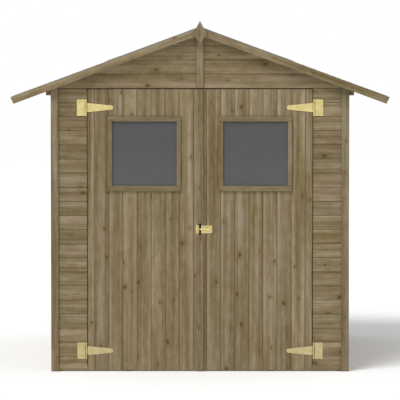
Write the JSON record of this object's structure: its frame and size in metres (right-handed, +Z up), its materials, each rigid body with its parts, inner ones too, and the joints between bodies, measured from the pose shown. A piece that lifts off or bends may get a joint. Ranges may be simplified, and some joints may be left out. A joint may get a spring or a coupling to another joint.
{
  "type": "wooden garden shed",
  "caption": "Pitched-roof garden shed clad in treated boards, with outward double doors on T hinges, a small pane in each leaf, a sliding bolt, felt roof and gable finials.",
  "frame": {"origin": "on the ground at the middle of the roof's plan", "axes": "+Z up, -Y out of the doors, +X to the right of someone who faces the doors"},
  "size_m": [2.352, 2.53, 2.1897],
  "materials": {
    "treated_wood": "pressure-treated softwood, sawn and planed, unpainted",
    "roof_felt": "mineral-faced roofing felt",
    "window_glazing": "clear flat sheet, grey in the shade of the inside",
    "hinge_plating": "yellow passivated steel, satin",
    "bolt_brass": "bright plated, satin"
  },
  "bodies": {
    "shed": {"floor_boards": "treated_wood", "floor_bearers": "treated_wood", "left_wall": "treated_wood", "right_wall": "treated_wood", "back_wall": "treated_wood", "front_left_panel": "treated_wood", "front_right_panel": "treated_wood", "front_gable": "treated_wood", "side_wall_studs": "treated_wood", "side_wall_rails": "treated_wood", "back_wall_studs": "treated_wood", "back_wall_rails": "treated_wood", "front_wall_studs": "treated_wood", "front_wall_rails": "treated_wood", "door_stops": "treated_wood", "left_roof_boards": "treated_wood", "right_roof_boards": "treated_wood", "left_roof_felt": "roof_felt", "right_roof_felt": "roof_felt", "ridge_felt": "roof_felt", "ridge_purlin": "treated_wood", "roof_purlins": "treated_wood", "eaves_rails": "treated_wood", "front_barge_boards": "treated_wood", "back_barge_boards": "treated_wood", "front_finial": "treated_wood", "back_finial": "treated_wood", "gable_strip": "treated_wood", "front_corner_trims": "treated_wood", "side_corner_trims": "treated_wood", "back_corner_trims": "treated_wood", "hinge_plates": "hinge_plating"},
    "right_door": {"right_door_boards": "treated_wood", "right_door_ledges": "treated_wood", "right_window_trim": "treated_wood", "right_window_pane": "window_glazing", "right_hinge_straps": "hinge_plating", "cover_strip": "treated_wood", "bolt_guide": "bolt_brass"},
    "left_door": {"left_door_boards": "treated_wood", "left_door_ledges": "treated_wood", "left_window_trim": "treated_wood", "left_window_pane": "window_glazing", "left_hinge_straps": "hinge_plating", "bolt_keeper": "bolt_brass"},
    "bolt": {"bolt_bar": "bolt_brass"}
  },
  "joints": [
    {"name": "right_door_hinge", "type": "hinge", "parent": "shed", "child": "right_door", "pos_m": [0.71, -1.1933, 0.13], "axis": [0, 0, 1], "range_deg": [0, 150]},
    {"name": "left_door_hinge", "type": "hinge", "parent": "shed", "child": "left_door", "pos_m": [-0.71, -1.1933, 0.13], "axis": [0, 0, -1], "range_deg": [0, 150]},
    {"name": "bolt_slide", "type": "slide", "parent": "right_door", "child": "bolt", "axis": [-1, 0, 0], "range_m": [0, 0.02]}
  ],
  "couplings": [
    {"joint": "left_door_hinge", "follows": "right_door_hinge", "ratio": 1}
  ]
}
